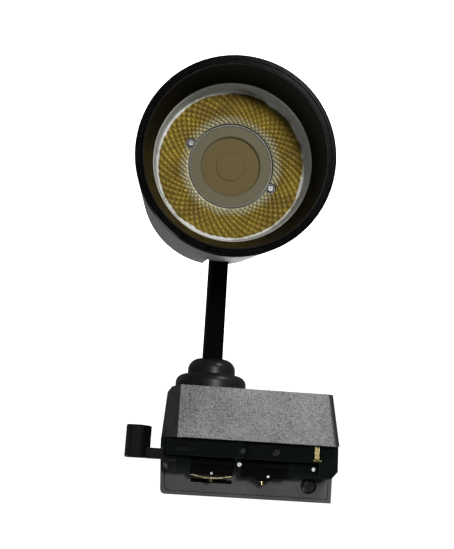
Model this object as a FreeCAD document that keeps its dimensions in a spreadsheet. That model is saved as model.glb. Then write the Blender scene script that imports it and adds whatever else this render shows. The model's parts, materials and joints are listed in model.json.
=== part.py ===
import FreeCAD, Part
import math
import os
import Sketcher

# Track spotlight, hanging as it is used, in millimetres.
# Origin: on the swivel axis, in the plane where the adapter meets the underside of the track.
# +Z points up into the track, X runs along the track and the beam leaves toward -Y.

SIZES = {
    # head
    "head_radius": 45.2,
    "head_length": 129,
    "shell_wall": 2.2,
    "front_reach": 86,
    "beam_rise": 13,
    "pivot_drop": 140,
    "bezel_depth": 6,
    "thread_length": 3,
    "lip_radius": 41.8,
    "aperture_radius": 37.4,
    "aperture_depth": 19.7,
    "flange_thick": 1.2,
    "gasket_thick": 1,
    "ledge_start": 23.4,
    "ledge_size": 2,
    "bowl_radius": 36,
    "bowl_depth": 32.2,
    "throat_radius": 20.3,
    "throat_depth": 33,
    "ear_radius": 22.1,
    "ear_angle": 25,
    "lens_drop": 0.8,
    "lens_thick": 2.5,
    "lens_dish": 14.1,
    "lens_middle": 6.9,
    "holder_radius": 25.5,
    "holder_window": 13,
    "board_half": 12,
    "led_radius": 9.5,
    "sink_start": 38.7,
    "sink_end": 60,
    "fin_pitch": 8,
    "fin_thick": 2,
    "sink_base": 4,
    "bracket_screw_place": 16,
    "bracket_base": 2,
    "cheek_near": 7.1,
    "cheek_far": 9.1,
    "cheek_radius": 11,
    "cap_thick": 3,
    "slot_start": 65.3,
    "slot_width": 12.8,
    "cap_screw_inset": 3.9,
    # arm and swivel
    "arm_width": 9.7,
    "arm_depth": 18,
    "arm_top": -36,
    "arm_corner": 2,
    "arm_wall": 1.6,
    "bolt_radius": 3,
    "washer_near": 4.95,
    "washer_far": 7,
    "washer_radius": 8,
    "nut_flats": 10,
    "tier_radius": 18.05,
    "tier_bottom": -32.5,
    "cap_radius": 12.15,
    "cap_bottom": -41,
    "tube_radius": 5,
    "tube_wall": 1.6,
    "tube_top": -15.5,
    "running_gap": 0.06,
    "clear_gap": 0.3,
    "slide_gap": 0.05,
    "fit_gap": 0.1,
    # adapter box
    "box_half_width": 17.8,
    "box_drop": -25.2,
    "box_left": 15.6,
    "box_right": -64.8,
    "box_draft": 4,
    "box_wall": 2.3,
    "box_corner": 3.5,
    "end_bulge": 7.7,
    "board_left": -12,
    "board_right": -56,
    "board_low": -9.4,
    "board_thick": 1.6,
    # insert above the seat plane
    "cheek_front": -12,
    "cheek_back": -8.7,
    "cheek_top": 8.4,
    "block_top": 15.7,
    "block_left": -55.8,
    "plate_front": 3.4,
    "plate_thick": 1.8,
    "back_thick": 2.3,
    "plate_top": 27.4,
    "plate_left": 23.4,
    "plate_right": -65.6,
    "plate_draft": 1.6,
    "rim_width": 1.7,
    "rim_groove": 0.35,
    "post_left": -13.8,
    "post_right": -17.1,
    "column_place": -17.3,
    "cheek_screw_place": -34,
    "plate_screw_place": -53,
    "plate_screw_height": 19.4,
    "window_left": 7,
    "window_right": -14,
    "window_low": 18.9,
    "window_high": 20.8,
    "earth_left": -53.1,
    "earth_right": -55.3,
    "earth_height": 7,
    # locking rotor
    "axis_depth": -3.6,
    "axis_height": 11.5,
    "rotor_radius": 4.7,
    "shaft_radius": 1.5,
    "lug_half": 2.6,
    "lug_top": 17,
    "live_left": 8,
    "live_right": -13.4,
    "neutral_left": -17.5,
    "neutral_right": -40.8,
    "rotor_left": 21.2,
    "rotor_right": -55.4,
    "contact_top": 20.2,
    "barrel_rivet_place": -53.2,
    "lever_left": 40.8,
    "lever_top": 10.8,
    "lever_bottom": -5.2,
}

NEAR = 0.01
V = FreeCAD.Vector
TURNS = {
    "X": FreeCAD.Rotation(V(0, 1, 0), 90),
    "Y": FreeCAD.Rotation(V(1, 0, 0), -90),
    "Z": FreeCAD.Rotation(),
}

doc = FreeCAD.newDocument("track_spotlight")
sheet = doc.addObject("Spreadsheet::Sheet", "Sizes")
for row, (alias, number) in enumerate(SIZES.items(), 1):
    sheet.set(f"A{row}", alias)
    sheet.set(f"B{row}", str(number))
    sheet.setAlias(f"B{row}", alias)
doc.recompute()


# ---------------------------------------------------------------- sizes and expressions

class Size:
    """A number together with the spreadsheet expression that gives it."""

    def __init__(self, value, text):
        self.value = value
        self.text = text

    def __add__(self, other):
        other = as_size(other)
        return Size(self.value + other.value, f"({self.text} + {other.text})")

    def __sub__(self, other):
        other = as_size(other)
        return Size(self.value - other.value, f"({self.text} - {other.text})")

    def __mul__(self, other):
        other = as_size(other)
        return Size(self.value * other.value, f"({self.text} * {other.text})")

    def __truediv__(self, other):
        other = as_size(other)
        return Size(self.value / other.value, f"({self.text} / {other.text})")

    def __neg__(self):
        return Size(-self.value, f"(0 - {self.text})")


def as_size(number):
    if isinstance(number, Size):
        return number
    return Size(float(number), f"({number})")


class Sheet:
    """The spreadsheet's cells as Size values, by alias."""

    def __getattr__(self, alias):
        return Size(float(SIZES[alias]), f"Sizes.{alias}")


size = Sheet()


def bind(target, prop, amount):
    amount = as_size(amount)
    target.setExpression(prop, amount.text)


def shift(target, x, y, z):
    for axis, amount in zip("xyz", (x, y, z)):
        bind(target, f"Placement.Base.{axis}", amount)


# ---------------------------------------------------------------- primitives and booleans

def box(name, x0, x1, y0, y1, z0, z1):
    solid = doc.addObject("Part::Box", name)
    bind(solid, "Length", as_size(x1) - x0)
    bind(solid, "Width", as_size(y1) - y0)
    bind(solid, "Height", as_size(z1) - z0)
    shift(solid, x0, y0, z0)
    return solid


def stand(solid, axis, start, a, b):
    """Point a round solid along an axis; a and b are its other two coordinates."""
    solid.Placement = FreeCAD.Placement(V(), TURNS[axis])
    x, y, z = {"X": (start, a, b), "Y": (a, start, b), "Z": (a, b, start)}[axis]
    shift(solid, x, y, z)
    return solid


def rod(name, radius, axis, start, end, a=0, b=0):
    solid = doc.addObject("Part::Cylinder", name)
    bind(solid, "Radius", radius)
    bind(solid, "Height", as_size(end) - start)
    return stand(solid, axis, start, a, b)


def taper(name, radius, end_radius, axis, start, end, a=0, b=0):
    solid = doc.addObject("Part::Cone", name)
    bind(solid, "Radius1", radius)
    bind(solid, "Radius2", end_radius)
    bind(solid, "Height", as_size(end) - start)
    return stand(solid, axis, start, a, b)


def fuse(name, *shapes):
    solid = doc.addObject("Part::MultiFuse", name)
    solid.Shapes = list(shapes)
    solid.Refine = True
    return solid


def group(name, *shapes):
    solid = doc.addObject("Part::Compound", name)
    solid.Links = list(shapes)
    return solid


def cut(name, base, *tools):
    solid = doc.addObject("Part::Cut", name)
    solid.Base = base
    solid.Tool = tools[0] if len(tools) == 1 else fuse(name + "_tools", *tools)
    solid.Refine = True
    return solid


def common(name, *shapes):
    solid = doc.addObject("Part::MultiCommon", name)
    solid.Shapes = list(shapes)
    return solid


# ---------------------------------------------------------------- sketched bodies

def outline(body, plane, points):
    """A closed sketch through the points, each held by two bound distances."""
    sketch = body.newObject("Sketcher::SketchObject", body.Name + "_outline")
    planes = [f for f in body.Origin.OriginFeatures if f.Role == plane]
    sketch.AttachmentSupport = [(planes[0], "")]
    sketch.MapMode = "FlatFace"
    points = [(as_size(a), as_size(b)) for a, b in points]
    corners = [V(a.value, b.value, 0) for a, b in points]
    count = len(corners)
    for i in range(count):
        sketch.addGeometry(Part.LineSegment(corners[i], corners[(i + 1) % count]), False)
    for i in range(count):
        sketch.addConstraint(Sketcher.Constraint("Coincident", i, 2, (i + 1) % count, 1))
    for i, corner in enumerate(points):
        for kind, amount in zip(("DistanceX", "DistanceY"), corner):
            rule = Sketcher.Constraint(kind, -1, 1, i, 1, amount.value)
            index = sketch.addConstraint(rule)
            bind(sketch, f"Constraints[{index}]", amount)
    return sketch


def lathe(name, points):
    """A body turned about Z from a profile of (radius, height) points."""
    body = doc.addObject("PartDesign::Body", name)
    sketch = outline(body, "XZ_Plane", points)
    turned = body.newObject("PartDesign::Revolution", name + "_turned")
    turned.Profile = sketch
    turned.ReferenceAxis = (sketch, ["V_Axis"])
    turned.Angle = 360
    return body


def slab(name, points, front, back):
    """A body whose XZ outline is padded from y = front to y = back."""
    body = doc.addObject("PartDesign::Body", name)
    pad = body.newObject("PartDesign::Pad", name + "_pad")
    pad.Profile = outline(body, "XZ_Plane", points)
    bind(pad, "Length", as_size(back) - front)
    bind(body, "Placement.Base.y", back)
    body.Tip = pad
    return body


def soften(body, name, radius, picked):
    """Round the edges of a body's last feature that picked() accepts."""
    doc.recompute()
    base = body.Tip
    edges = [f"Edge{i}" for i, edge in enumerate(base.Shape.Edges, 1) if picked(edge)]
    fillet = body.newObject("PartDesign::Fillet", name)
    fillet.Base = (base, edges)
    bind(fillet, "Radius", radius)
    body.Tip = fillet
    return body


def rim(radius, height):
    def picked(edge):
        curve = edge.Curve
        if not isinstance(curve, Part.Circle):
            return False
        return abs(curve.Radius - radius.value) < NEAR and abs(curve.Center.z - height.value) < NEAR
    return picked


def upright(low_x, high_x):
    """Edges that climb in Z and whose middle lies between two x values."""
    def picked(edge):
        middle = edge.CenterOfMass
        return edge.BoundBox.ZLength > 5 and low_x < middle.x < high_x
    return picked


# ---------------------------------------------------------------- nodes

NODES = []


def node(solid, label):
    solid.Label = label
    if solid.Label != label:
        raise RuntimeError(f"the name {label} is taken")
    NODES.append(solid)
    return solid


def head_node(solid, label):
    """A head piece is modelled with Z running back from the front rim, then seated."""
    rise = math.radians(SIZES["beam_rise"])
    reach = SIZES["front_reach"]
    front = V(0, -reach * math.cos(rise), reach * math.sin(rise) - SIZES["pivot_drop"])
    turn = FreeCAD.Rotation(V(1, 0, 0), -90 - SIZES["beam_rise"])
    solid.Placement = FreeCAD.Placement(front, turn)
    return node(solid, label)


def pan_head(name, head_radius, head_height, shank_radius, shank_length):
    """Pan-head screw with a cross recess: head above z = 0, shank below."""
    head = lathe(name + "_head", [
        (0, 0), (head_radius, 0), (head_radius, head_height * 0.55),
        (head_radius * 0.72, head_height), (0, head_height)])
    shank = rod(name + "_shank", shank_radius, "Z", -shank_length, 0)
    arm = head_radius * 0.6
    slit = head_radius * 0.13
    floor = head_height * 0.45
    lines = [
        box(name + "_cross_a", -arm, arm, -slit, slit, floor, head_height * 2),
        box(name + "_cross_b", -slit, slit, -arm, arm, floor, head_height * 2)]
    return cut(name, fuse(name + "_blank", head, shank), *lines)


def sides(near, far):
    """The same span on both sides of the middle, as (low, high) pairs."""
    return [(-far, -near), (as_size(near), as_size(far))]


def polar(radius, degrees):
    angle = math.radians(degrees)
    return radius * math.cos(angle), radius * math.sin(angle)


# ---------------------------------------------------------------- head

def build_shell():
    """The head's tube, with a ledge inside for the optic and a slot behind for the arm."""
    outer = size.head_radius
    inner = outer - size.shell_wall
    end = size.head_length - size.cap_thick
    ledge = inner - size.ledge_size
    ledge_start = size.ledge_start
    ledge_end = ledge_start + size.ledge_size
    tube = lathe("housing_tube", [
        (outer, size.bezel_depth), (outer, end), (inner, end), (inner, ledge_end),
        (ledge, ledge_end), (ledge, ledge_start), (inner, ledge_start), (inner, size.bezel_depth)])
    half = size.slot_width / 2
    past = 5
    slot = box("housing_slot", -half, half, -outer - past, -outer / 2, size.slot_start, end + past)
    head_node(cut("housing", tube, slot), "head_housing")


def build_bezel():
    """Front ring with a threaded skirt, an outer chamfer and a sloping inner lip."""
    outer = size.head_radius
    thread = outer - size.shell_wall - size.slide_gap
    lip = size.lip_radius
    end = size.bezel_depth
    skirt = end + size.thread_length
    chamfer = 0.7
    lip_step = 0.9
    lip_flat = 1.2
    lip_slope = 0.3
    bezel = lathe("bezel", [
        (lip, lip_step), (lip + lip_flat, lip_step), (lip + lip_flat + lip_slope, 0),
        (outer - chamfer, 0), (outer, chamfer), (outer, end), (thread, end), (thread, skirt),
        (lip, skirt)])
    head_node(bezel, "front_bezel")


def build_baffle():
    """Black sleeve that narrows to the aperture, and the gasket on its flange."""
    hole = size.aperture_radius
    deep = size.aperture_depth
    wide = size.lip_radius - size.slide_gap
    flange = size.head_radius - size.shell_wall - size.fit_gap
    flange_end = deep + size.flange_thick
    start = 1.6
    straight_end = 5
    front_wall = 0.4
    back_wall = 1.5
    sleeve = lathe("baffle", [
        (wide - front_wall, start), (wide, start), (wide, straight_end), (hole + back_wall, deep),
        (flange, deep), (flange, flange_end), (hole, flange_end), (hole, deep)])
    head_node(sleeve, "anti_glare_baffle")
    gasket_inner = hole + 0.5
    gasket_outer = flange - 1
    gasket_end = flange_end + size.gasket_thick
    gasket = lathe("gasket", [
        (gasket_inner, flange_end), (gasket_outer, flange_end), (gasket_outer, gasket_end),
        (gasket_inner, gasket_end)])
    head_node(gasket, "lens_gasket")


def ear_places():
    """Centres of the two ears cut into the optic's throat for the holder's bosses."""
    radius = SIZES["ear_radius"]
    return [polar(radius, SIZES["ear_angle"] + turn) for turn in (0, 180)]


def build_optic():
    """Conical bowl with a flange in front and two ear notches behind."""
    start = size.aperture_depth + size.flange_thick + size.gasket_thick
    flange = size.head_radius - size.shell_wall - size.fit_gap - size.clear_gap
    flange_end = start + 1.4
    wall = 1.2
    bowl = lathe("bowl", [
        (size.aperture_radius - size.fit_gap, start), (flange, start), (flange, flange_end),
        (size.aperture_radius + 1, flange_end), (size.bowl_radius + wall, size.bowl_depth + wall),
        (size.throat_radius, size.throat_depth + wall), (size.throat_radius, size.throat_depth),
        (size.bowl_radius, size.bowl_depth)])
    notch_radius = 2.6
    notches = [
        rod(f"ear_notch_{i}", notch_radius, "Z", size.throat_depth - 5, size.throat_depth + 7, x, y)
        for i, (x, y) in enumerate(ear_places())]
    head_node(cut("optic", bowl, *notches), "reflector")


def build_lens():
    """Centre disc: a flat rim, a shallow dish and a raised middle."""
    face = size.throat_depth + size.lens_drop
    edge = size.throat_radius - 0.9
    back = face + size.lens_thick
    floor = face + 1.2
    raised = floor - 0.3
    dish = size.lens_dish
    lens = lathe("lens", [
        (0, raised - size.slide_gap), (size.lens_middle, raised), (size.lens_middle, floor),
        (dish, floor), (dish, face + 0.3), (dish + 0.7, face), (edge, face), (edge, back), (0, back)])
    head_node(lens, "centre_lens")


def build_holder():
    """Ring that clamps the light source, with a screwed boss in each of the optic's ears."""
    inner = size.throat_radius - 0.8
    lip = inner + 0.6
    front = size.throat_depth + 0.3
    step = 1.1
    web = front + 3.1
    ring = lathe("holder_ring", [
        (inner, front), (lip, front), (lip, front + step), (size.holder_radius, front + step),
        (size.holder_radius, web + step), (size.holder_window, web + step),
        (size.holder_window, web), (inner, web)])
    boss_radius = 2.4
    shank = 1.2
    bosses = []
    holes = []
    screws = []
    for i, (x, y) in enumerate(ear_places()):
        bosses.append(rod(f"holder_boss_{i}", boss_radius, "Z", front + 0.3, front + 2, x, y))
        holes.append(rod(f"holder_hole_{i}", size.slide_gap + shank, "Z", front - 3, front + 7, x, y))
        screw = pan_head(f"holder_screw_{i}", 1.7, 1.3, shank, 8)
        seat = V(x, y, SIZES["throat_depth"] + 0.6)
        screw.Placement = FreeCAD.Placement(seat, FreeCAD.Rotation(V(1, 0, 0), 180))
        screws.append(screw)
    head_node(cut("holder", fuse("holder_blank", ring, *bosses), *holes), "cob_holder")
    head_node(group("holder_screw_pair", *screws), "holder_screws")


def build_light_source():
    """Square LED board on the heat sink, with its round emitter."""
    back = size.sink_start
    front = back - 1
    half = size.board_half
    head_node(group("board", box("board_plate", -half, half, -half, half, front, back)), "cob_board")
    emitter = rod("led_disc", size.led_radius, "Z", front - 0.8, front)
    head_node(group("led", emitter), "cob_led")


def bracket_screw_places():
    place = size.bracket_screw_place
    return list(enumerate((-place, place)))


def build_heat_sink():
    """Round base with straight fins and two tapped posts for the pivot bracket."""
    inner = size.head_radius - size.shell_wall
    start = size.sink_start
    end = size.sink_end
    root = start + size.sink_base
    base = rod("sink_base", inner - size.fit_gap, "Z", start, root + 0.3)
    envelope = rod("sink_envelope", inner - 1, "Z", root, end)
    half = size.fin_thick / 2
    side_fins = 4
    fins = []
    for i in range(-side_fins, side_fins + 1):
        middle = size.fin_pitch * i
        name = f"sink_fin_{i + side_fins}"
        fins.append(box(name, middle - half, middle + half, -inner, inner, root, end))
    trimmed = common("sink_fins", fuse("sink_fin_blanks", *fins), envelope)
    post_radius = 3.4
    pilot_radius = 1.55
    pilot_depth = 11
    posts = []
    pilots = []
    for i, x in bracket_screw_places():
        posts.append(rod(f"sink_post_{i}", post_radius, "Z", root, end, x, 0))
        pilots.append(rod(f"sink_pilot_{i}", pilot_radius, "Z", end - pilot_depth, end + 1, x, 0))
    for i, (x, y) in enumerate(ear_places()):
        pilots.append(rod(f"sink_ear_pilot_{i}", 1.25, "Z", start - 1, root - 0.5, x, y))
    head_node(cut("sink", fuse("sink_blank", base, trimmed, *posts), *pilots), "heat_sink")


def cap_vents():
    """Radial vents through the rear cap, all round but for the arm's slot."""
    count = 10
    step = 32
    first = -54
    slot_direction = -90
    vents = []
    for i in range(count):
        vent = box(f"cap_vent_{i}", 20, 34, -1.6, 1.6, -10, 10)
        turned = group(f"cap_vent_turned_{i}", vent)
        angle = first + step * i
        turn = FreeCAD.Rotation(V(0, 0, 1), angle)
        turned.Placement = FreeCAD.Placement(V(0, 0, SIZES["head_length"]), turn)
        if abs(math.remainder(angle - slot_direction, 360)) > 25:
            vents.append(turned)
    return vents


def build_rear_cap():
    """Vented disc with a spigot, held by three countersunk screws."""
    outer = size.head_radius
    inner = outer - size.shell_wall
    spigot = inner - 3
    spigot_outer = inner - size.fit_gap
    end = size.head_length
    start = end - size.cap_thick
    front = start - 5
    chamfer = 0.8
    disc = lathe("cap_disc", [
        (0, start), (spigot, start), (spigot, front), (spigot_outer, front), (spigot_outer, start),
        (outer, start), (outer, end - chamfer), (outer - chamfer, end), (0, end)])
    half = size.slot_width / 2
    slot_end = 11
    tools = [box("cap_slot", -half, half, -outer - 5, slot_end, front - 1, end + 1)] + cap_vents()
    sink_depth = 1.6
    shank = 1.05
    ring = SIZES["head_radius"] - SIZES["cap_screw_inset"]
    screws = []
    for i, angle in enumerate((90, 210, 330)):
        x, y = polar(ring, angle)
        tools.append(rod(f"cap_sink_{i}", 2.5, "Z", end - sink_depth, end + 1, x, y))
        tools.append(rod(f"cap_hole_{i}", size.slide_gap + shank, "Z", front - 1, end, x, y))
        screw = pan_head(f"cap_screw_{i}", 2.2, 1.4, shank, 6)
        seat = V(x, y, SIZES["head_length"] - sink_depth)
        screw.Placement = FreeCAD.Placement(seat, FreeCAD.Rotation())
        screws.append(screw)
    head_node(cut("cap", disc, *tools), "rear_cap")
    head_node(group("cap_screw_set", *screws), "rear_cap_screws")


def build_bracket():
    """Fork on the heat sink that carries the tilt bolt."""
    start = size.sink_end
    top = start + size.bracket_base
    pivot = size.front_reach
    cheek = size.cheek_radius
    pieces = [box("bracket_base", -20.5, 20.5, -12, 12, start, top)]
    for i, (near, far) in enumerate(sides(size.cheek_near, size.cheek_far)):
        pieces.append(box(f"bracket_cheek_{i}", near, far, -cheek, cheek, start + 1, pivot))
        pieces.append(rod(f"bracket_round_{i}", cheek, "X", near, far, 0, pivot))
    holes = [rod("bracket_bolt_hole", size.bolt_radius, "X", -20, 20, 0, pivot)]
    screws = []
    for i, x in bracket_screw_places():
        holes.append(rod(f"bracket_hole_{i}", 1.6, "Z", start - 1, top + 1, x, 0))
        screw = pan_head(f"bracket_screw_{i}", 2.8, 2, 1.5, 9)
        shift(screw, x, 0, top)
        screws.append(screw)
    head_node(cut("bracket", fuse("bracket_blank", *pieces), *holes), "pivot_bracket")
    head_node(group("bracket_screw_pair", *screws), "bracket_screws")


def hexagon(name, flats, axis, start, end, a, b):
    """Six-sided prism, given the width across its flats."""
    prism = doc.addObject("Part::Prism", name)
    prism.Polygon = 6
    bind(prism, "Circumradius", as_size(flats) / math.sqrt(3))
    bind(prism, "Height", as_size(end) - start)
    return stand(prism, axis, start, a, b)


def build_tilt_bolt():
    """Bolt through the fork and the arm's eye, and its nut."""
    pivot = size.front_reach
    face = size.cheek_far
    head_height = 4
    nut_height = 4.5
    shank = rod("bolt_shank", size.bolt_radius, "X", -face, face + nut_height + 1.6, 0, pivot)
    head = hexagon("bolt_head", size.nut_flats, "X", -face - head_height, -face, 0, pivot)
    head_node(fuse("bolt", shank, head), "tilt_bolt")
    nut = hexagon("nut_blank", size.nut_flats, "X", face, face + nut_height, 0, pivot)
    bore = rod("nut_bore", size.bolt_radius, "X", face - 1, face + nut_height + 1, 0, pivot)
    head_node(cut("nut", nut, bore), "tilt_nut")


# ---------------------------------------------------------------- arm and swivel

def build_arm():
    """Flat hollow bar with a round eye at its lower end."""
    half_width = size.arm_width / 2
    half_depth = size.arm_depth / 2
    pivot = -size.pivot_drop
    top = size.arm_top
    bar = slab("bar_blank", [
        (-half_width, pivot), (half_width, pivot), (half_width, top), (-half_width, top)],
        -half_depth, half_depth)
    soften(bar, "bar_corners", size.arm_corner, upright(-20, 20))
    eye = rod("arm_eye", half_depth, "X", -half_width, half_width, 0, pivot)
    wall = size.arm_wall
    solid_length = 16
    hollow = box(
        "arm_hollow", -half_width + wall, half_width - wall,
        -half_depth + wall, half_depth - wall, pivot + solid_length, top + 1)
    hole = rod("arm_bolt_hole", size.bolt_radius + size.running_gap, "X", -10, 10, 0, pivot)
    node(cut("arm", fuse("arm_blank", bar, eye), hollow, hole), "arm_bar")


def build_friction_washers():
    pivot = -size.pivot_drop
    rings = []
    for i, (near, far) in enumerate(sides(size.washer_near, size.washer_far)):
        ring = rod(f"washer_disc_{i}", size.washer_radius, "X", near, far, 0, pivot)
        bore = rod(f"washer_bore_{i}", size.bolt_radius + size.fit_gap, "X", -10, 10, 0, pivot)
        rings.append(cut(f"washer_{i}", ring, bore))
    node(group("washer_pair", *rings), "friction_washers")


def build_swivel():
    """Rounded cap on the arm, and the threaded tube that turns in the adapter's collar."""
    base = size.tier_bottom - size.clear_gap
    bottom = size.cap_bottom
    cap = lathe("cap_turned", [(0, base), (size.cap_radius, base), (size.cap_radius, bottom), (0, bottom)])
    soften(cap, "cap_shoulder", 5.8, rim(size.cap_radius, bottom))
    half_width = size.arm_width / 2
    half_depth = size.arm_depth / 2
    top = size.arm_top
    pocket = box("cap_pocket", -half_width, half_width, -half_depth, half_depth, bottom - 1, top)
    bore = rod("cap_bore", size.tube_radius, "Z", top - 1, base + 1)
    node(cut("swivel", cap, pocket, bore), "swivel_cap")

    tube = rod("tube_outer", size.tube_radius, "Z", top, size.tube_top)
    inside = rod("tube_inner", size.tube_radius - size.tube_wall, "Z", top - 1, size.tube_top + 1)
    node(cut("tube", tube, inside), "swivel_tube")


def build_swivel_fixings():
    """Wave washer and nut that hold the tube on the adapter's inner floor."""
    floor = size.box_drop + size.box_wall
    washer_end = floor + 0.9
    washer = rod("wave_disc", 8.2, "Z", floor + size.fit_gap, washer_end)
    washer_bore = rod("wave_bore", size.tube_radius + size.fit_gap, "Z", floor - 1, washer_end + 1)
    node(cut("wave", washer, washer_bore), "wave_washer")
    nut_start = washer_end + size.fit_gap
    nut_end = nut_start + 4
    nut = hexagon("swivel_nut_blank", 14, "Z", nut_start, nut_end, 0, 0)
    nut_bore = rod("swivel_nut_bore", size.tube_radius, "Z", nut_start - 1, nut_end + 1)
    node(cut("swivel_nut_cut", nut, nut_bore), "swivel_nut")


# ---------------------------------------------------------------- adapter box

def build_box():
    """Hollow box that closes against the track, open above, with a bore for the swivel tube."""
    half = size.box_half_width
    base = size.box_drop
    drafted = size.box_right + size.box_draft
    shell = slab("box_blank", [
        (size.box_left, 0), (size.box_right, 0), (drafted, base), (size.box_left, base)], -half, half)
    soften(shell, "box_corners", size.box_corner, upright(-70, -55))
    wall = size.box_wall
    cavity = box(
        "box_cavity", drafted + wall, size.box_left - wall, -half + wall, half - wall, base + wall, 1)
    bore = rod("box_bore", size.tube_radius + 0.5, "Z", base - 1, base + wall + 1)
    node(cut("box_shell", shell, cavity, bore), "adapter_housing")

    inner = size.tube_radius + size.running_gap
    tier = lathe("tier_turned", [
        (inner, size.tier_bottom), (size.tier_radius, size.tier_bottom), (size.tier_radius, base),
        (inner, base)])
    soften(tier, "tier_shoulder", 4.2, rim(size.tier_radius, size.tier_bottom))
    node(tier, "collar_base")


def build_end_cap():
    """Bowed block on the lever's end of the box, with a chamfered lower edge."""
    half = size.box_half_width
    bulge = size.end_bulge
    radius = (half * half + bulge * bulge) / (bulge * 2)
    left = size.box_left
    tip = left + bulge
    base = size.box_drop
    profile = slab("end_profile", [
        (left, 0), (tip, 0), (tip - 1.5, base + 3), (tip - 3.5, base + 0.6), (left, base)], -half, half)
    drum = rod("end_drum", radius, "Z", base - 1, 1, tip - radius, 0)
    node(common("end_block", profile, drum), "end_cap")


def build_driver():
    """LED driver inside the box: board, transformer, capacitor and terminal block."""
    low = size.board_low
    half = 13
    board = box("driver_plate", size.board_right, size.board_left, -half, half, low, low + size.board_thick)
    node(board, "driver_board")
    bobbin = box("bobbin", -37, -25, -7, 7, low - 11.1, low)
    core = box("core", -40, -22, -5, 5, low - 9.1, low - 2.1)
    node(fuse("transformer", bobbin, core), "driver_transformer")
    can_length = 10.6
    node(rod("can", 4, "Z", low - can_length, low, -48, 5), "driver_capacitor")
    block = box("terminal_blank", -20, -13, -8, 8, low - 9, low)
    pitch = 4.5
    holes = [
        rod(f"terminal_hole_{i}", 1.6, "X", -18, -12, y, low - 4.6)
        for i, y in enumerate((-pitch, 0, pitch))]
    node(cut("terminal", block, *holes), "terminal_block")


# ---------------------------------------------------------------- insert in the track

def rotor_rod(name, radius, start, end):
    """A round solid on the rotor's axis."""
    return rod(name, radius, "X", start, end, size.axis_depth, size.axis_height)


def front_screw(name, x, y, z, head_radius, head_height, shank_radius, shank_length):
    """A pan-head screw that faces -Y, seated at a point."""
    screw = pan_head(name, head_radius, head_height, shank_radius, shank_length)
    screw.Placement = FreeCAD.Placement(V(), FreeCAD.Rotation(V(1, 0, 0), 90))
    shift(screw, x, y, z)
    return screw


def insert_blank():
    """Floor, long front cheek, end blocks, middle post, cradle, column and ribs in one moulding."""
    front = size.cheek_front
    back = size.cheek_back
    top = size.cheek_top
    plate = size.plate_front - 0.2
    gap = size.box_wall + size.fit_gap
    half = size.box_half_width - gap
    tip = size.block_top
    right = size.box_right
    bevel_x = 3.2
    bevel_z = 3.6
    column_proud = 1
    column_radius = 3.8
    parts = [
        box("insert_floor", right + size.box_draft + gap, size.box_left - gap, -half, half, -3, 0),
        box("insert_cheek", size.block_left - 1, 20.4, front, back, 0, top),
        box("left_block", size.box_left + size.fit_gap, 23.3, -9.5, plate, 0, 4.4),
        slab("right_block", [
            (size.block_left, 0), (size.block_left, tip), (right + bevel_x, tip),
            (right, tip - bevel_z), (right, 0)], front, plate),
        box("middle_post", size.post_right, size.post_left, back - 1, 0.4, 0, 14),
        box("left_cradle", 10, 14, back - 1, 1, 0, top),
        rod("cheek_column", column_radius, "Z", 0, top + 0.2, size.column_place,
            front + column_radius - column_proud)]
    rib_radius = 1.1
    rib_half_pitch = 2.5
    for i, side in enumerate((1, -1)):
        place = (size.earth_left + size.earth_right) / 2 + 0.1 + rib_half_pitch * side
        parts.append(rod(f"cheek_rib_{i}", rib_radius, "Z", 0, top - 1.5, place, front + rib_radius - 0.5))
    return fuse("insert_blank", *parts)


def insert_cuts():
    """Room for the rotor, the lever's slot, wire and screw holes, and the earth strip's seat."""
    front = size.cheek_front
    back = size.cheek_back
    swept = rotor_rod("insert_swept", size.rotor_radius + 0.4, size.rotor_right, 9.5)
    keep = box("post_keep", size.post_right, size.post_left, -20, 20, -5, 30)
    bearing = size.rotor_radius + size.running_gap
    strip = size.earth_height
    return [
        cut("insert_sweep", swept, keep),
        rotor_rod("insert_cradle_bore", bearing, 9, 24),
        rotor_rod("insert_shaft_bore", size.shaft_radius + size.running_gap, -63, 0),
        box("cheek_slot", 5.6, 15.4, front - 1, 1.1, 3.3, 6),
        rod("wire_hole", 3, "Z", -4, 1, -6, 9),
        rod("cheek_screw_hole", 1.1, "Y", front - 1, back + 0.1, size.cheek_screw_place, 4.4),
        rod("column_screw_hole", 0.9, "Y", front - 5, front + 1, size.column_place, 4.6),
        box("earth_channel", size.earth_right, size.earth_left, front - 1, front + 0.9, 0, strip),
        box(
            "earth_curl_seat", size.earth_right - 1.1, size.earth_left + 1.1,
            front - 1, front + 0.4, strip - 0.5, strip + 1.3),
        rod("post_pin_hole", 1, "Y", back - 2, back + 0.6, size.post_left - 2.2, 11.3)]


def build_insert_base():
    node(cut("insert", insert_blank(), *insert_cuts()), "insert_base")


def build_insert_fixings():
    """Two screws in the cheek, the pin in the middle post and the sprung earth strip."""
    front = size.cheek_front
    back = size.cheek_back
    cheek = front_screw("cheek_screw", size.cheek_screw_place, front, 4.4, 2.2, 1, 1.1, 3)
    column = front_screw("column_screw", size.column_place, front - 1, 4.6, 1.5, 0.8, 0.85, 1.8)
    node(group("cheek_screw_pair", cheek, column), "cheek_screws")
    pin = rod("bearing_pin", 1, "Y", back - 1.5, back + 0.6, size.post_left - 2.2, 11.3)
    node(pin, "post_pin")

    height = size.earth_height
    strip = box(
        "earth_strip", size.earth_right, size.earth_left, front + 0.1, front + 0.9, 0, height)
    curl = rod(
        "earth_curl", 0.8, "X", size.earth_right - 1, size.earth_left + 1, front - 0.5, height + 0.4)
    node(fuse("earth_spring", strip, curl), "earth_contact")


def plate_outline(inset, low):
    """The plate's tapering outline, drawn in by an inset on its three free edges."""
    top = size.plate_top - inset
    slope = size.plate_draft
    left = size.plate_left - inset
    right = size.plate_right + inset
    corner = 2
    return [
        (left, low), (left - slope, top - corner), (left - slope - corner * 0.3, top - corner * 0.3),
        (left - slope - corner, top), (right + slope * 0.5, top), (right, low)]


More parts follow.
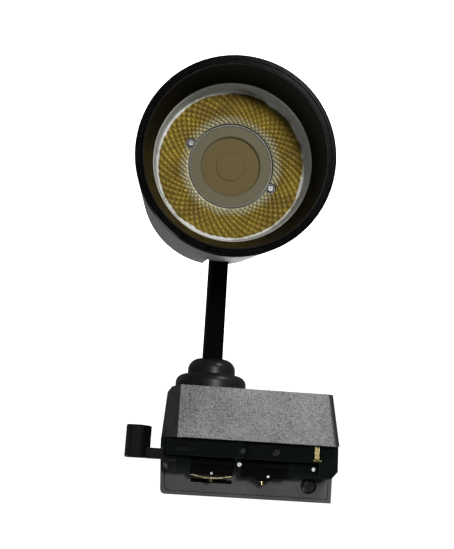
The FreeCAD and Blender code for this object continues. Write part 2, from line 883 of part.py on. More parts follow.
def plate_window(name, front, back):
    """The long slot through the plate and the wall behind it."""
    return box(
        name, size.window_right, size.window_left, front, back, size.window_low, size.window_high)


def build_insert_back():
    """Wall behind the rotor with a raised rim, and the liner in its window."""
    front = size.plate_front
    step = front + size.plate_thick
    back = step + size.back_thick
    floor = step + 0.8
    wall = slab("back_wall", plate_outline(0, 0), front - 0.2, back)
    recess = slab("back_recess", plate_outline(size.rim_width, -1), front - 1, step)
    window = plate_window("back_window", 0, floor)
    hole = rod(
        "back_screw_hole", 1.7, "Y", front, back + 1, size.plate_screw_place, size.plate_screw_height)
    node(cut("back", wall, recess, window, hole), "insert_back")
    inset = 0.2
    liner = box(
        "liner_strip", size.window_right + inset, size.window_left - inset, front + 0.7, floor,
        size.window_low + size.fit_gap, size.window_high - size.fit_gap)
    node(group("liner", liner), "contact_liner")


def build_insert_plate():
    """Flat plate inside the rim, with a boss for its screw."""
    front = size.plate_front
    step = front + size.plate_thick
    place = size.plate_screw_place
    height = size.plate_screw_height
    boss_proud = 0.6
    plate = slab("plate_blank", plate_outline(size.rim_width + size.rim_groove, 0.2), front, step)
    boss = rod("plate_boss", 5.8, "Y", front - boss_proud, front + 0.1, place, height)
    boss_trim = box("plate_boss_trim", size.block_left + size.fit_gap, 30, 0, 6, 0.2, 25)
    opening = plate_window("plate_window", 0, 10)
    hole = rod("plate_screw_hole", 1.75, "Y", 0, 10, place, height)
    solid = fuse("plate_with_boss", plate, common("plate_boss_cut", boss, boss_trim))
    node(cut("plate", solid, opening, hole), "insert_plate")
    screw = front_screw("plate_screw_solid", place, front - boss_proud, height, 3.9, 2.1, 1.65, 4.2)
    node(screw, "plate_screw")


# ---------------------------------------------------------------- locking rotor

def build_carrier(name, left, right, bulge):
    """A moulded drum on the shaft with a flat lug that carries a contact."""
    drum = rotor_rod(name + "_drum", size.rotor_radius, right, left)
    near = size.axis_depth - size.lug_half
    far = size.axis_depth + size.lug_half
    lug = box(name + "_lug", right, left, near, far, size.axis_height, size.lug_top)
    solids = [drum, lug]
    if bulge:
        middle = (left + right) / 2
        hump_radius = 9
        hump_proud = 1.6
        centre = size.lug_top + hump_proud - hump_radius
        hump = rod(name + "_hump", hump_radius, "Y", near, far, middle, centre)
        ceiling = box(name + "_ceiling", right, left, near, far, size.axis_height, 30)
        solids.append(common(name + "_hump_cut", hump, ceiling))
    bore = rotor_rod(name + "_bore", size.shaft_radius, right - 1, left + 1)
    return cut(name, fuse(name + "_blank", *solids), bore)


def leaf(name, middle, half_chord, crown, rise):
    """A thin spring strip that bows away from the lug."""
    radius = (half_chord * half_chord + rise * rise) / (2 * rise)
    near = size.axis_depth - 2
    far = size.axis_depth + 2
    thick = 0.5
    outer = rod(name + "_outer", radius, "Y", near, far, middle, crown - radius)
    inner = rod(name + "_inner", radius - thick, "Y", near - 1, far + 1, middle, crown - radius)
    window = box(
        name + "_window", middle - half_chord, middle + half_chord, near, far,
        size.lug_top + size.slide_gap, 25)
    return common(name, cut(name + "_shell", outer, inner), window)


def build_rotor():
    """Steel shaft with the two moulded contact carriers and the barrels at its ends."""
    node(rotor_rod("shaft_rod", size.shaft_radius, -62.5, 20), "rotor_shaft")
    live = build_carrier("live_drum", size.live_left, size.live_right, False)
    node(live, "live_carrier")
    neutral = build_carrier("neutral_drum", size.neutral_left, size.neutral_right, True)
    node(neutral, "neutral_carrier")

    radius = size.rotor_radius
    left = rotor_rod("barrel_left", radius, size.live_left + size.fit_gap, 15.4)
    right = rotor_rod("barrel_right", radius, size.rotor_right, size.neutral_right - size.fit_gap)
    bore = rotor_rod("barrel_bore", size.shaft_radius, -60, 20)
    hole = barrel_rivet("barrel_rivet_hole", 1)
    node(cut("barrels", fuse("barrel_pair", left, right), bore, hole), "rotor_barrels")


def barrel_rivet(name, proud):
    """The rivet in the far barrel, standing proud of it by the given height."""
    surface = size.axis_depth - size.rotor_radius
    return rod(
        name, 0.9, "Y", surface - proud, surface + 1.5, size.barrel_rivet_place, size.axis_height)


def build_contacts():
    """Sprung contact of the live carrier, button of the neutral one, and the rivets."""
    live = (size.live_left + size.live_right) / 2
    neutral = (size.neutral_left + size.neutral_right) / 2
    depth = size.axis_depth
    crown = size.lug_top + 1.7
    strip = leaf("live_leaf", live, 10.2, crown, 1.4)
    button = rod("live_button", 1.5, "Z", crown - 0.3, size.contact_top, live, depth)
    node(fuse("live_spring", strip, button), "live_contact")
    cone = taper("neutral_button", 1.8, 1.2, "Z", size.lug_top + 1.6, size.contact_top, neutral, depth)
    node(cone, "neutral_contact")

    lug_face = depth - size.lug_half
    rivets = [
        rod(f"rivet_{i}", 0.6, "Y", lug_face - 0.35, lug_face, x, size.lug_top - 0.8)
        for i, x in enumerate((live, neutral - 1.8))]
    rivets.append(barrel_rivet("rivet_barrel", 0.25))
    node(group("rivet_set", *rivets), "carrier_rivets")


def grip_ends(edge):
    """The grip's top and bottom outlines."""
    return edge.BoundBox.ZLength < NEAR


def build_lever():
    """Hub on the shaft, a flat neck, and a grip with one slanted side."""
    hub_end = size.rotor_left - 2
    radius = size.rotor_radius
    depth = size.axis_depth
    hub = rotor_rod("lever_hub_blank", radius, 15.5, hub_end)
    dome = taper(
        "lever_dome", radius, radius - 1.8, "X", hub_end, size.rotor_left, depth, size.axis_height)
    back = depth + 2.6
    front = depth - 5
    neck = box("lever_neck", hub_end - 1, 30, depth - 2.6, back, 5.6, size.lever_top)
    left = size.lever_left
    grip_start = 28.3
    plan = doc.addObject("PartDesign::Body", "lever_grip")
    pad = plan.newObject("PartDesign::Pad", "lever_grip_pad")
    pad.Profile = outline(plan, "XY_Plane", [
        (grip_start, back), (grip_start, depth + 1), (grip_start + 3.9, front + 0.4),
        (grip_start + 5.1, front), (left, front), (left, back)])
    bind(pad, "Length", size.lever_top - size.lever_bottom)
    bind(plan, "Placement.Base.z", size.lever_bottom)
    plan.Tip = pad
    soften(plan, "lever_grip_sides", 3.2, upright(left.value - 1, left.value + 1))
    soften(plan, "lever_grip_edges", 0.8, grip_ends)
    bore = rotor_rod("lever_bore", size.shaft_radius, 10, 20)
    node(cut("lever", fuse("lever_blank", hub, dome, neck, plan), bore), "lock_lever")


# ---------------------------------------------------------------- the whole light

BUILDERS = [
    build_shell, build_bezel, build_baffle, build_optic, build_lens, build_holder,
    build_light_source, build_heat_sink, build_rear_cap, build_bracket, build_tilt_bolt,
    build_arm, build_friction_washers, build_swivel, build_swivel_fixings,
    build_box, build_end_cap, build_driver,
    build_insert_base, build_insert_fixings, build_insert_back, build_insert_plate,
    build_rotor, build_contacts, build_lever,
]


def check_all():
    """Stop if any object failed or any node has no sound solid."""
    for thing in doc.Objects:
        if "Invalid" in thing.State or "Error" in thing.State:
            raise RuntimeError(f"{thing.Name} failed: {thing.State}")
    for solid in NODES:
        if solid.Shape.isNull() or not solid.Shape.isValid() or not solid.Shape.Solids:
            raise RuntimeError(f"{solid.Label} has no valid solid")


for build in BUILDERS:
    build()
doc.recompute()
check_all()
os.makedirs("parts", exist_ok=True)
for solid in NODES:
    solid.Shape.exportStep(f"parts/{solid.Label}.step")
    print(solid.Label, len(solid.Shape.Solids), round(solid.Shape.Volume, 1))
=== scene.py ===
"""A track spotlight: procedural finishes on the CAD frame, a faceted optic, studio and camera."""
import json
import math

import bmesh
import bpy
from mathutils import Matrix, Vector


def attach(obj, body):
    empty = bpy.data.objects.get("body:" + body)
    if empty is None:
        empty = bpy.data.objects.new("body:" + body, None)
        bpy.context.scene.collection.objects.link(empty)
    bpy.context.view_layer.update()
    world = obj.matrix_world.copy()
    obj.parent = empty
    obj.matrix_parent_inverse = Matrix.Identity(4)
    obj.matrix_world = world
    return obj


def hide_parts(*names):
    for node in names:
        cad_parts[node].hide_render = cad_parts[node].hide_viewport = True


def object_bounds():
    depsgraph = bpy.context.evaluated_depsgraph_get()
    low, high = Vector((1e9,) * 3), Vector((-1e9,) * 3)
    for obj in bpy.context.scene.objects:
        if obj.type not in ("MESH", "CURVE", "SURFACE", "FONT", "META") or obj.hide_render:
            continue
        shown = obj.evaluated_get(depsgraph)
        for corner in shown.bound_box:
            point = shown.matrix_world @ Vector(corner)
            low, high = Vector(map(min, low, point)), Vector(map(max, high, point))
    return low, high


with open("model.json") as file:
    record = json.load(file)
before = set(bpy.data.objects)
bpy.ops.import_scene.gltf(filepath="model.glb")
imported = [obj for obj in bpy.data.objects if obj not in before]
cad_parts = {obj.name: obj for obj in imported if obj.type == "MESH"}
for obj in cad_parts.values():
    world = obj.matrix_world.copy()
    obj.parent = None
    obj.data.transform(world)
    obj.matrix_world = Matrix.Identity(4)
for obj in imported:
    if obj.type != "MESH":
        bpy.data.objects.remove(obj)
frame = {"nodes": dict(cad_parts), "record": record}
cad_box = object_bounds()
MM = 0.001
NODES = frame["nodes"]


# ---------------------------------------------------------------- placing on the frame

PIVOT_DROP = 140 * MM
FRONT_REACH = 86 * MM
BEAM_RISE = math.radians(13)


def head_frame():
    """The head's own frame: Z runs back from the centre of the front rim."""
    front = Vector((0, -FRONT_REACH * math.cos(BEAM_RISE), FRONT_REACH * math.sin(BEAM_RISE) - PIVOT_DROP))
    return Matrix.Translation(front) @ Matrix.Rotation(-math.pi / 2 - BEAM_RISE, 4, "X")


HEAD = head_frame()


# ---------------------------------------------------------------- materials

NOISE_ROUGHNESS = 0.55
BEVEL_SAMPLES = 4
WEAR_WIDTH = 0.35 * MM
GLOSS_SPREAD = 0.06


def colour_socket(sockets, name):
    """A mix node has sockets of one name for each kind of value. This picks the colour."""
    return [socket for socket in sockets if socket.name == name and socket.type == "RGBA"][0]


def grey(value):
    return (value, value, value * 0.99)


class Finish:
    """A Principled material whose colour, roughness and bump come from linked nodes."""

    def __init__(self, name):
        self.material = bpy.data.materials.new(name)
        self.material.use_nodes = True
        self.tree = self.material.node_tree
        self.shader = self.tree.nodes["Principled BSDF"]
        self.coordinates = self.add("ShaderNodeTexCoord")
        self.place = self.coordinates.outputs["Object"]

    def add(self, kind, **values):
        made = self.tree.nodes.new(kind)
        for key, value in values.items():
            setattr(made, key, value)
        return made

    def link(self, start, end):
        self.tree.links.new(start, end)

    def noise(self, scale, detail):
        made = self.add("ShaderNodeTexNoise")
        made.inputs["Scale"].default_value = scale
        made.inputs["Detail"].default_value = detail
        made.inputs["Roughness"].default_value = NOISE_ROUGHNESS
        self.link(self.place, made.inputs["Vector"])
        return made.outputs["Fac"]

    def math(self, operation, first, second=None):
        made = self.add("ShaderNodeMath", operation=operation)
        for socket, value in zip(made.inputs, (first, second)):
            if value is None:
                continue
            if isinstance(value, (int, float)):
                socket.default_value = value
            else:
                self.link(value, socket)
        return made.outputs[0]

    def spread(self, value, low, high, out_low=0.0, out_high=1.0):
        """The range low to high of a value, stretched to out_low to out_high."""
        made = self.add("ShaderNodeMapRange", clamp=True)
        self.link(value, made.inputs["Value"])
        made.inputs["From Min"].default_value = low
        made.inputs["From Max"].default_value = high
        made.inputs["To Min"].default_value = out_low
        made.inputs["To Max"].default_value = out_high
        return made.outputs["Result"]

    def mix(self, factor, first, second):
        made = self.add("ShaderNodeMix", data_type="RGBA")
        self.link(factor, made.inputs["Factor"])
        for name, value in (("A", first), ("B", second)):
            socket = colour_socket(made.inputs, name)
            if isinstance(value, tuple):
                socket.default_value = (*value, 1)
            else:
                self.link(value, socket)
        return colour_socket(made.outputs, "Result")

    def average(self, first, second):
        return self.math("MULTIPLY", self.math("ADD", first, second), 0.5)

    def edges(self, radius):
        """1 on outside edges and corners, 0 on flat places."""
        bevel = self.add("ShaderNodeBevel", samples=BEVEL_SAMPLES)
        bevel.inputs["Radius"].default_value = radius
        facing = self.add("ShaderNodeVectorMath", operation="DOT_PRODUCT")
        self.link(bevel.outputs["Normal"], facing.inputs[0])
        self.link(self.add("ShaderNodeNewGeometry").outputs["Normal"], facing.inputs[1])
        return self.spread(facing.outputs["Value"], 0.99, 0.8)

    def rubbed(self):
        """Patchy wear along the edges."""
        patches = self.spread(self.noise(scale=400, detail=2), 0.35, 0.6)
        return self.math("MULTIPLY", self.edges(WEAR_WIDTH), patches)

    def head_place(self):
        """Position in the head's own frame, in metres."""
        moved = self.add("ShaderNodeVectorMath", operation="SUBTRACT")
        self.link(self.place, moved.inputs[0])
        moved.inputs[1].default_value = HEAD.translation
        turned = self.add("ShaderNodeVectorRotate", rotation_type="X_AXIS")
        self.link(moved.outputs[0], turned.inputs["Vector"])
        turned.inputs["Angle"].default_value = math.pi / 2 + BEAM_RISE
        return turned.outputs[0]

    def bump(self, height, distance):
        made = self.add("ShaderNodeBump")
        made.inputs["Strength"].default_value = 1
        made.inputs["Distance"].default_value = distance
        self.link(height, made.inputs["Height"])
        self.link(made.outputs["Normal"], self.shader.inputs["Normal"])

    def set(self, **values):
        for key, value in values.items():
            self.shader.inputs[key.replace("_", " ")].default_value = value


def moulded(name, dark, light, rough, grain, depth, worn, metal=0.0, shine=0.5, mottle=60):
    """Mottled colour, uneven gloss, a moulded or brushed grain and paler rubbed edges."""
    made = Finish(name)
    patches = made.spread(made.noise(scale=mottle, detail=4), 0.35, 0.65)
    speck = made.spread(made.noise(scale=grain, detail=2), 0.4, 0.6)
    base = made.mix(made.average(patches, speck), dark, light)
    made.link(made.mix(made.rubbed(), base, worn), made.shader.inputs["Base Color"])
    uneven = made.noise(scale=mottle * 2, detail=3)
    gloss = made.spread(uneven, 0.3, 0.7, rough - GLOSS_SPREAD, rough + GLOSS_SPREAD)
    made.link(gloss, made.shader.inputs["Roughness"])
    made.set(Metallic=metal, Specular_IOR_Level=shine)
    made.bump(made.noise(scale=grain, detail=2), depth * MM)
    return made.material


def grained_box():
    """Deep fine grain. The long faces are painted light grey with bright specks, a painted sheen on black
    plastic. The ends of the box are darker and duller than its long faces; their darker colour is painted
    shade.
    """
    made = Finish("grained_black_painted_sheen_and_shade")
    patches = made.spread(made.noise(scale=45, detail=1), 0.3, 0.7)
    speck = made.spread(made.noise(scale=1100, detail=1), 0.38, 0.62)
    # painted sheen: the black plastic's long faces are shown light grey with bright specks
    base = made.mix(made.average(patches, speck), (0.015, 0.015, 0.015), (0.25, 0.25, 0.244))
    facing = made.add("ShaderNodeSeparateXYZ")
    made.link(made.coordinates.outputs["Normal"], facing.inputs[0])
    # painted shade: the ends of the box, which face sideways, are given a darker colour
    end = made.spread(made.math("ABSOLUTE", facing.outputs["X"]), 0.08, 0.4)
    base = made.mix(end, base, (0.006, 0.006, 0.006))
    made.link(made.mix(made.rubbed(), base, grey(0.2)), made.shader.inputs["Base Color"])
    made.link(made.spread(end, 0, 1, 0.4, 0.8), made.shader.inputs["Roughness"])
    made.set(Specular_IOR_Level=1.0)
    made.bump(made.noise(scale=1150, detail=2), 0.26 * MM)
    return made.material


def phosphor():
    """Yellow gel with a fine grain of powder."""
    made = Finish("phosphor_gel")
    powder = made.spread(made.noise(scale=2600, detail=2), 0.35, 0.65)
    yellow = made.mix(powder, (0.52, 0.36, 0.03), (0.72, 0.55, 0.09))
    made.link(yellow, made.shader.inputs["Base Color"])
    made.link(made.spread(powder, 0, 1, 0.3, 0.5), made.shader.inputs["Roughness"])
    made.bump(powder, 0.02 * MM)
    return made.material


def radius_from_axis(made):
    """Distance from the head's axis, in metres."""
    parts = made.add("ShaderNodeSeparateXYZ")
    made.link(made.head_place(), parts.inputs[0])
    across = made.math("POWER", parts.outputs["X"], 2)
    down = made.math("POWER", parts.outputs["Y"], 2)
    return made.math("SQRT", made.math("ADD", across, down))


RIM_TONE_STARTS = 34.6 * MM
RIM_TONE_ENDS = 36 * MM
THROAT_TONE_STARTS = 25 * MM
THROAT_TONE_ENDS = 20.6 * MM
TONE_WANDER = 3.5 * MM


def optic_metal():
    """Coated plastic: gold over the facets, which is painted reflection of the yellow phosphor, pale beside
    the throat, near white on the ribbed rim.
    """
    made = Finish("optic_mirror")
    radius = radius_from_axis(made)
    cloud = made.noise(scale=90, detail=3)
    # painted reflection: this gold stands for the yellow phosphor seen in the optic
    painted_phosphor_gold = made.mix(made.spread(cloud, 0.35, 0.65), (0.072, 0.046, 0.001), (0.122, 0.085, 0.003))
    near_white = (0.92, 0.94, 0.9)
    pale_gold = (0.17, 0.16, 0.1)
    wander = made.math("MULTIPLY", made.math("SUBTRACT", cloud, 0.5), TONE_WANDER)
    shifted = made.math("ADD", radius, wander)
    outer = made.spread(shifted, RIM_TONE_STARTS, RIM_TONE_ENDS)
    inner = made.spread(shifted, THROAT_TONE_STARTS, THROAT_TONE_ENDS)
    tone = made.mix(outer, made.mix(inner, painted_phosphor_gold, pale_gold), near_white)
    made.link(tone, made.shader.inputs["Base Color"])
    gloss = made.spread(made.noise(scale=700, detail=2), 0.3, 0.7, 0.34, 0.46)
    made.link(gloss, made.shader.inputs["Roughness"])
    made.link(made.spread(outer, 0, 1, 0.75, 0.0), made.shader.inputs["Metallic"])
    made.bump(made.noise(scale=1800, detail=2), 0.01 * MM)
    return made.material


LENS_RIM_STARTS = 13.4 * MM
LENS_RIM_ENDS = 14.6 * MM
OUTER_STEP = 14.3 * MM
OUTER_STEP_HALF_WIDTH = 0.4 * MM
INNER_STEP = 6.9 * MM
INNER_STEP_HALF_WIDTH = 0.25 * MM
STEP_WANDER = 0.8 * MM
STEP_SHADE_STRENGTH = 0.6


def milky_lens():
    """Milky plastic over the light source: beige rim, olive middle and painted shade in two thin dark rings
    at its steps.
    """
    made = Finish("milky_lens")
    uneven = made.math("SUBTRACT", made.noise(scale=160, detail=2), 0.5)
    radius = made.math("ADD", radius_from_axis(made), made.math("MULTIPLY", uneven, STEP_WANDER))
    rim = made.spread(radius, LENS_RIM_STARTS, LENS_RIM_ENDS)
    base = made.mix(rim, (0.24, 0.18, 0.06), (0.26, 0.23, 0.14))
    # painted shade: thin dark rings where the lens surface steps
    for step, half in ((OUTER_STEP, OUTER_STEP_HALF_WIDTH), (INNER_STEP, INNER_STEP_HALF_WIDTH)):
        away = made.math("ABSOLUTE", made.math("SUBTRACT", radius, step))
        base = made.mix(made.spread(away, half, 0, 0, STEP_SHADE_STRENGTH), base, (0.06, 0.045, 0.015))
    made.link(base, made.shader.inputs["Base Color"])
    gloss = made.spread(made.noise(scale=500, detail=3), 0.3, 0.7, 0.4, 0.5)
    made.link(gloss, made.shader.inputs["Roughness"])
    made.set(Specular_IOR_Level=0.12)
    made.bump(made.noise(scale=350, detail=2), 0.02 * MM)
    return made.material


MOULDED = {
    "lever_plastic": dict(
        name="lever_black", dark=grey(0.006), light=grey(0.01),
        rough=0.3, grain=1500, depth=0.02, worn=grey(0.05), shine=0.06),
    "smooth_plastic": dict(
        name="satin_black", dark=grey(0.009), light=grey(0.015),
        rough=0.36, grain=1500, depth=0.02, worn=grey(0.07), shine=0.3),
    "insert_plastic": dict(
        name="insert_black", dark=(0.0035, 0.0062, 0.0055), light=(0.006, 0.009, 0.008),
        rough=0.55, grain=1300, depth=0.03, worn=grey(0.03), shine=0.02),
    "carrier_plastic": dict(
        name="carrier_black", dark=grey(0.0015), light=grey(0.003),
        rough=0.5, grain=1300, depth=0.02, worn=grey(0.012), shine=0.02),
    "plate_plastic": dict(
        name="plate_grey", dark=grey(0.05), light=grey(0.09),
        rough=0.5, grain=1100, depth=0.06, worn=grey(0.2), shine=0.35),
    "black_screw": dict(
        name="blackened_steel", dark=grey(0.003), light=grey(0.007),
        rough=0.4, grain=1400, depth=0.02, worn=grey(0.07), metal=0.2, shine=0.1),
    "brass": dict(
        name="worn_brass", dark=(0.05, 0.042, 0.014), light=(0.13, 0.11, 0.045),
        rough=0.3, grain=1600, depth=0.015, worn=(0.5, 0.48, 0.36), metal=1.0),
    "white_nylon": dict(
        name="white_nylon", dark=(0.62, 0.61, 0.57), light=(0.72, 0.71, 0.67),
        rough=0.5, grain=1200, depth=0.02, worn=(0.8, 0.8, 0.76)),
    "circuit_board": dict(
        name="green_board", dark=(0.015, 0.09, 0.035), light=(0.03, 0.14, 0.05),
        rough=0.45, grain=1300, depth=0.02, worn=(0.3, 0.3, 0.12)),
    "copper_coil": dict(
        name="wound_copper", dark=(0.4, 0.14, 0.05), light=(0.6, 0.24, 0.08),
        rough=0.35, grain=1800, depth=0.06, worn=(0.75, 0.4, 0.2), metal=0.9),
    "capacitor_can": dict(
        name="can_sleeve", dark=(0.012, 0.02, 0.05), light=(0.02, 0.035, 0.08),
        rough=0.35, grain=1200, depth=0.01, worn=grey(0.3)),
    "steel": dict(
        name="plated_steel", dark=grey(0.2), light=grey(0.32),
        rough=0.42, grain=1700, depth=0.015, worn=grey(0.75), metal=1.0),
    "arm_paint": dict(
        name="arm_black", dark=grey(0.0015), light=grey(0.003),
        rough=0.6, grain=1500, depth=0.03, worn=grey(0.02), shine=0.02),
    "head_paint": dict(
        name="head_black", dark=grey(0.035), light=grey(0.05),
        rough=0.46, grain=1500, depth=0.03, worn=grey(0.12), shine=0.5, mottle=260),
    "bezel_paint": dict(
        name="bezel_black", dark=grey(0.002), light=grey(0.0035),
        rough=0.2, grain=1400, depth=0.006, worn=grey(0.04), shine=0.02),
    "baffle_plastic": dict(
        name="baffle_black", dark=grey(0.003), light=grey(0.005),
        rough=0.36, grain=1300, depth=0.004, worn=grey(0.02), shine=0.1),
    "silicone": dict(
        name="grey_silicone", dark=grey(0.2), light=grey(0.27),
        rough=0.6, grain=1100, depth=0.02, worn=grey(0.3)),
    "holder_plastic": dict(
        name="holder_cream", dark=(0.16, 0.15, 0.11), light=(0.24, 0.22, 0.17),
        rough=0.35, grain=1200, depth=0.02, worn=(0.5, 0.5, 0.45)),
    "ceramic_board": dict(
        name="white_ceramic", dark=(0.6, 0.6, 0.58), light=(0.7, 0.7, 0.67),
        rough=0.3, grain=1400, depth=0.01, worn=(0.8, 0.8, 0.8)),
    "bare_aluminium": dict(
        name="cast_aluminium", dark=grey(0.42), light=grey(0.56),
        rough=0.4, grain=1300, depth=0.04, worn=grey(0.8), metal=1.0),
}


def make_materials():
    """One finish for each material slot of the record. Depths in the table are in millimetres."""
    made = {slot: moulded(**look) for slot, look in MOULDED.items()}
    made["textured_plastic"] = grained_box()
    made["optic_plastic"] = optic_metal()
    made["lens_cover"] = milky_lens()
    made["phosphor"] = phosphor()
    return made


FINISH_INSTEAD = {"swivel_cap": "smooth_plastic"}


def paint_frame(materials):
    """Every CAD node takes the finish of its slot, except the cap, which looks like the collar."""
    for part in frame["record"]["subparts"]:
        solid = NODES[part["node"]]
        finish = FINISH_INSTEAD.get(part["node"], part["material_slot"])
        for holder in solid.material_slots:
            holder.material = materials[finish]


# ---------------------------------------------------------------- the optic

RIM_RADIUS = 37.3
RIM_DEPTH = 21.9
BOWL_RADIUS = 36.0
BOWL_DEPTH = 32.2
THROAT_RADIUS = 20.4
THROAT_DEPTH = 33.0
FACETS_AROUND = 60
FACET_ROWS = 10
STEPS_PER_FACET = 8
FACET_HEIGHT = 0.11
RIB_HEIGHT = 0.09
RIM_STEPS = 8
RIM_FADE = 6
FLANGE_RADIUS = 42.6
FLANGE_THICKNESS = 1.4
RIM_WALL = 1.1
BOWL_WALL = 1.2
EAR_RADIUS = 22.1
EAR_ANGLE = math.radians(25)
EAR_CLEARANCE = 2.6
CUTTER_LENGTH = 14
CUTTER_SIDES = 40


def facet_height(turns, row):
    """Domes in a diamond lattice: row counts half facets outward from the throat."""
    shift = turns * FACETS_AROUND
    first = (shift + row / 2) % 1
    second = (-shift + row / 2) % 1
    return 16 * first * (1 - first) * second * (1 - second)


def bowl_point(turns, row):
    """Radius and depth on the bowl. Its rows grow with the radius, so the facets stay in proportion."""
    out = row / FACET_ROWS
    radius = THROAT_RADIUS * (BOWL_RADIUS / THROAT_RADIUS) ** out
    share = (radius - THROAT_RADIUS) / (BOWL_RADIUS - THROAT_RADIUS)
    depth = THROAT_DEPTH + (BOWL_DEPTH - THROAT_DEPTH) * share
    edge_fade = min(1, row, FACET_ROWS - row)
    return radius, depth - FACET_HEIGHT * facet_height(turns, row) * edge_fade


def rim_point(turns, share):
    """The ribbed band between the facets and the lens gasket."""
    ribs = abs(math.sin(math.pi * turns * FACETS_AROUND * 2))
    fade = min(1, share * RIM_FADE, (1 - share) * RIM_FADE)
    radius = BOWL_RADIUS + (RIM_RADIUS - BOWL_RADIUS) * share - RIB_HEIGHT * ribs * fade
    return radius, BOWL_DEPTH + (RIM_DEPTH - BOWL_DEPTH) * share


def optic_profile(turns):
    """One closed (radius, depth) loop: facets, ribbed band, flange and back."""
    rows = FACET_ROWS * STEPS_PER_FACET // 2
    points = [bowl_point(turns, i * 2 / STEPS_PER_FACET) for i in range(rows + 1)]
    points += [rim_point(turns, i / RIM_STEPS) for i in range(1, RIM_STEPS + 1)]
    flange_back = RIM_DEPTH + FLANGE_THICKNESS
    points += [(FLANGE_RADIUS, RIM_DEPTH), (FLANGE_RADIUS, flange_back), (RIM_RADIUS + RIM_WALL, flange_back)]
    points += [(BOWL_RADIUS + BOWL_WALL, BOWL_DEPTH + BOWL_WALL), (THROAT_RADIUS, THROAT_DEPTH + BOWL_WALL)]
    return points


def in_scene(made):
    bpy.context.scene.collection.objects.link(made)
    return made


def ring_mesh(name, profile, columns):
    """A closed mesh turned about the head's axis from profile(turns)."""
    mesh = bmesh.new()
    loops = []
    for column in range(columns):
        angle = 2 * math.pi * column / columns
        loops.append([
            mesh.verts.new(HEAD @ (Vector((r * math.cos(angle), r * math.sin(angle), z)) * MM))
            for r, z in profile(column / columns)])
    count = len(loops[0])
    for column in range(columns):
        here = loops[column]
        after = loops[(column + 1) % columns]
        for i in range(count):
            j = (i + 1) % count
            mesh.faces.new((here[i], after[i], after[j], here[j]))
    bmesh.ops.recalc_face_normals(mesh, faces=mesh.faces)
    data = bpy.data.meshes.new(name)
    mesh.to_mesh(data)
    mesh.free()
    return in_scene(bpy.data.objects.new(name, data))


def ear_cutter(index):
    """A round tool that opens the optic over one of the holder's screws."""
    angle = EAR_ANGLE + math.pi * index
    place = Vector((EAR_RADIUS * math.cos(angle), EAR_RADIUS * math.sin(angle), THROAT_DEPTH)) * MM
    radius = EAR_CLEARANCE * MM
    mesh = bmesh.new()
    bmesh.ops.create_cone(
        mesh, cap_ends=True, segments=CUTTER_SIDES, radius1=radius, radius2=radius,
        depth=CUTTER_LENGTH * MM, matrix=HEAD @ Matrix.Translation(place))
    data = bpy.data.meshes.new(f"ear_cutter_{index}")
    mesh.to_mesh(data)
    mesh.free()
    return in_scene(bpy.data.objects.new(data.name, data))


def carve(solid, tools):
    """Cut the tools out of the solid for good, and remove them."""
    for tool in tools:
        step = solid.modifiers.new("carve", "BOOLEAN")
        step.operation = "DIFFERENCE"
        step.solver = "EXACT"
        step.object = tool
    shaped = solid.evaluated_get(bpy.context.evaluated_depsgraph_get())
    data = bpy.data.meshes.new_from_object(shaped)
    solid.modifiers.clear()
    solid.data = data
    for tool in tools:
        bpy.data.objects.remove(tool)


def make_optic(materials):
    """The faceted optic, which stands for the plain CAD bowl."""
    optic = ring_mesh("faceted_optic", optic_profile, FACETS_AROUND * STEPS_PER_FACET)
    bpy.context.view_layer.update()
    carve(optic, [ear_cutter(0), ear_cutter(1)])
    optic.data.materials.clear()
    optic.data.materials.append(materials["optic_plastic"])
    optic.data.shade_smooth()
    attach(optic, "head")
    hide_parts("reflector")


# ---------------------------------------------------------------- studio

FLOOR_DROP = 0.12
FLOOR_RADIUS = 8
LIGHT_FROM_WORLD = 0.13
WORLD_AS_SEEN = 1.1


def aimed(made, place, target):
    """Stands a lamp or camera at a place, looking at the target."""
    made.location = place
    made.rotation_mode = "QUATERNION"
    made.rotation_quaternion = (Vector(target) - Vector(place)).to_track_quat("-Z", "Y")
    return in_scene(made)


def area_light(name, place, target, size, power, tint=(1, 1, 1)):
    data = bpy.data.lights.new(name, "AREA")
    data.shape = "RECTANGLE"
    data.size, data.size_y = size
    data.energy = power
    data.color = tint
    aimed(bpy.data.objects.new(name, data), place, target)


def make_floor():
    """A wide pale floor below the light. It neither shows in the light nor shades it."""
    mesh = bmesh.new()
    bmesh.ops.create_circle(mesh, cap_ends=True, segments=64, radius=FLOOR_RADIUS)
    data = bpy.data.meshes.new("floor")
    mesh.to_mesh(data)
    mesh.free()
    floor = in_scene(bpy.data.objects.new("floor", data))
    floor.location = (0, 0, cad_box[0].z - FLOOR_DROP)
    pale = Finish("pale_floor")
    tone = pale.spread(pale.noise(scale=3, detail=3), 0.3, 0.7)
    shade = pale.mix(tone, (0.93, 0.93, 0.93), (0.96, 0.96, 0.96))
    pale.link(shade, pale.shader.inputs["Base Color"])
    pale.link(shade, pale.shader.inputs["Emission Color"])
    pale.set(Emission_Strength=1.1, Roughness=0.9)
    data.materials.append(pale.material)
    floor.visible_glossy = False
    floor.visible_diffuse = False
    floor.visible_shadow = False    # the window lamp shines from below it


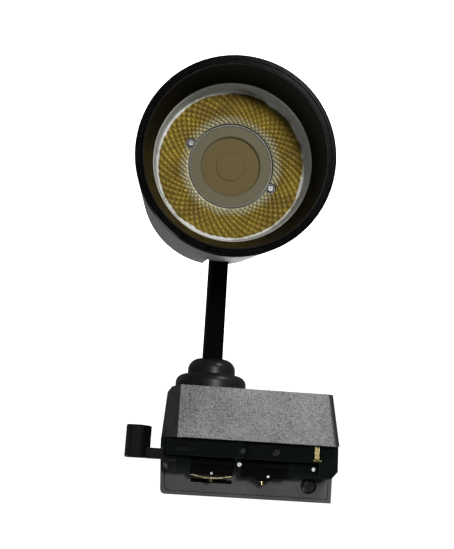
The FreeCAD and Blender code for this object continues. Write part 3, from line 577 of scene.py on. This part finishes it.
def make_world():
    """White where the camera looks past the floor, dim as a light source."""
    world = bpy.data.worlds.new("studio")
    bpy.context.scene.world = world
    world.use_nodes = True
    tree = world.node_tree
    back = tree.nodes["Background"]
    back.inputs["Color"].default_value = (1, 1, 1, 1)
    seen = tree.nodes.new("ShaderNodeLightPath")
    level = tree.nodes.new("ShaderNodeMapRange")
    level.inputs["To Min"].default_value = LIGHT_FROM_WORLD
    level.inputs["To Max"].default_value = WORLD_AS_SEEN
    tree.links.new(seen.outputs["Is Camera Ray"], level.inputs["Value"])
    tree.links.new(level.outputs["Result"], back.inputs["Strength"])


def make_lights():
    """Places and sizes in metres, powers in watts. The head shades one side of the collar from the window."""
    area_light("key", place=(-0.26, -1.2, -0.22), target=(-0.02, 0, -0.04), size=(0.26, 0.22), power=5.8)
    area_light("left_fill", place=(0.8, 0.0, 0.72), target=(0, 0, -0.1), size=(0.4, 0.4), power=20)
    area_light("rear_fill", place=(-0.5, 1.3, 0.35), target=(0, 0, -0.08), size=(0.8, 0.8), power=9)
    area_light(
        "window", place=(-0.56, -0.68, -1.0), target=(0, -0.02, -0.03), size=(0.12, 0.12), power=6,
        tint=(0.98, 0.99, 1))


CAMERA_PLACE = (0.0269, -0.4366, 0.0243)
CAMERA_AIM = (-0.0042, -0.0113, -0.0842)
CAMERA_ROLL = math.radians(-176.58)
SENSOR_WIDTH = 36
FOCAL_LENGTH = 67.4
NEAREST_SEEN = 0.01
FARTHEST_SEEN = 40


def make_camera():
    """The light lies lever to the left and head up in the picture, so the camera is rolled over."""
    data = bpy.data.cameras.new("camera")
    data.sensor_width = SENSOR_WIDTH
    data.sensor_fit = "HORIZONTAL"
    data.lens = FOCAL_LENGTH
    data.clip_start = NEAREST_SEEN
    data.clip_end = FARTHEST_SEEN
    camera = aimed(bpy.data.objects.new("camera", data), CAMERA_PLACE, CAMERA_AIM)
    camera.rotation_quaternion @= Matrix.Rotation(CAMERA_ROLL, 3, "Z").to_quaternion()
    bpy.context.scene.camera = camera


def plain_colours():
    """Colours are shown as they are, with no film curve."""
    bpy.context.scene.view_settings.view_transform = "Standard"


finishes = make_materials()
paint_frame(finishes)
make_optic(finishes)
make_floor()
make_world()
make_lights()
make_camera()
plain_colours()

bpy.context.view_layer.update()
